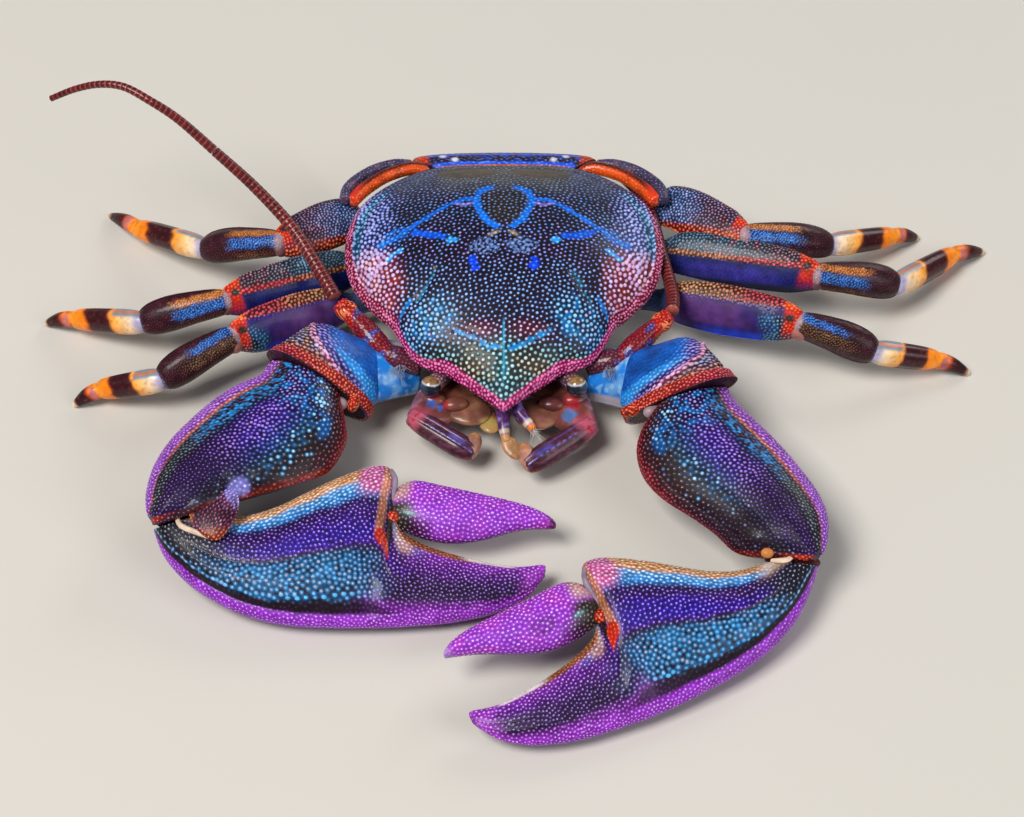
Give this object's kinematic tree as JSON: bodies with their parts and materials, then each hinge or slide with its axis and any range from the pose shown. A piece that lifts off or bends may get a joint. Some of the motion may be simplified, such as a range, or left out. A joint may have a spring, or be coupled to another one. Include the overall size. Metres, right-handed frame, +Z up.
{
  "type": "porcelain crab model",
  "caption": "Still life-size model of a large purple porcelain crab crouched flat, with both broad claws curved in front, a beaded shell and one long feeler raised.",
  "frame": {"origin": "on the floor under the middle of the whole crab's box", "axes": "+X towards the crab's left side, -Y towards its front, +Z up from the floor it stands on"},
  "size_m": [0.0979, 0.0714, 0.0213],
  "materials": {
    "shell": "wet gloss over fine grains",
    "flank": "smooth wet gloss",
    "claw": "wet gloss over fine grains",
    "finger": "wet gloss over fine grains",
    "leg_blue": "wet gloss",
    "leg_dark": "wet gloss",
    "banded": "smooth wet gloss",
    "feeler": "wet gloss, ringed",
    "mouth": "translucent wet gloss",
    "mouth_dark": "wet gloss",
    "eye": "high gloss",
    "orange": "smooth wet gloss",
    "tail": "wet gloss"
  },
  "bodies": {
    "root": {"antennule_left": "mouth_dark", "antennule_right": "mouth_dark", "body": "flank", "claw_arm_left": "claw", "claw_arm_right": "claw", "claw_base_left": "flank", "claw_base_right": "flank", "claw_finger_left": "finger", "claw_finger_right": "finger", "claw_merus_left": "claw", "claw_merus_right": "claw", "claw_palm_left": "claw", "claw_palm_right": "claw", "eye_left": "eye", "eye_right": "eye", "eyestalk_left": "mouth_dark", "eyestalk_right": "mouth_dark", "feeler_base_left": "feeler", "feeler_base_right": "feeler", "feeler_far_left": "feeler", "feeler_far_right": "feeler", "feeler_near_left": "feeler", "feeler_near_right": "feeler", "fifth_leg_arm_left": "orange", "fifth_leg_arm_right": "orange", "fifth_leg_hand_left": "leg_blue", "fifth_leg_hand_right": "leg_blue", "leg_2_left_carpus": "leg_dark", "leg_2_left_dactyl": "leg_dark", "leg_2_left_merus": "leg_blue", "leg_2_left_propodus": "banded", "leg_2_right_carpus": "leg_dark", "leg_2_right_dactyl": "leg_dark", "leg_2_right_merus": "leg_blue", "leg_2_right_propodus": "banded", "leg_3_left_carpus": "leg_dark", "leg_3_left_dactyl": "leg_dark", "leg_3_left_merus": "leg_blue", "leg_3_left_propodus": "banded", "leg_3_right_carpus": "leg_dark", "leg_3_right_dactyl": "leg_dark", "leg_3_right_merus": "leg_blue", "leg_3_right_propodus": "banded", "leg_4_left_carpus": "leg_dark", "leg_4_left_dactyl": "leg_dark", "leg_4_left_merus": "leg_blue", "leg_4_left_propodus": "banded", "leg_4_right_carpus": "leg_dark", "leg_4_right_dactyl": "leg_dark", "leg_4_right_merus": "leg_blue", "leg_4_right_propodus": "banded", "mouth": "mouth", "mouth_leg_bar_left": "mouth_dark", "mouth_leg_bar_right": "mouth_dark", "mouth_leg_plate_left": "mouth", "mouth_leg_plate_right": "mouth", "shell": "shell", "tail_fan": "tail", "tail_lower": "tail", "tail_upper": "tail"}
  },
  "joints": []
}
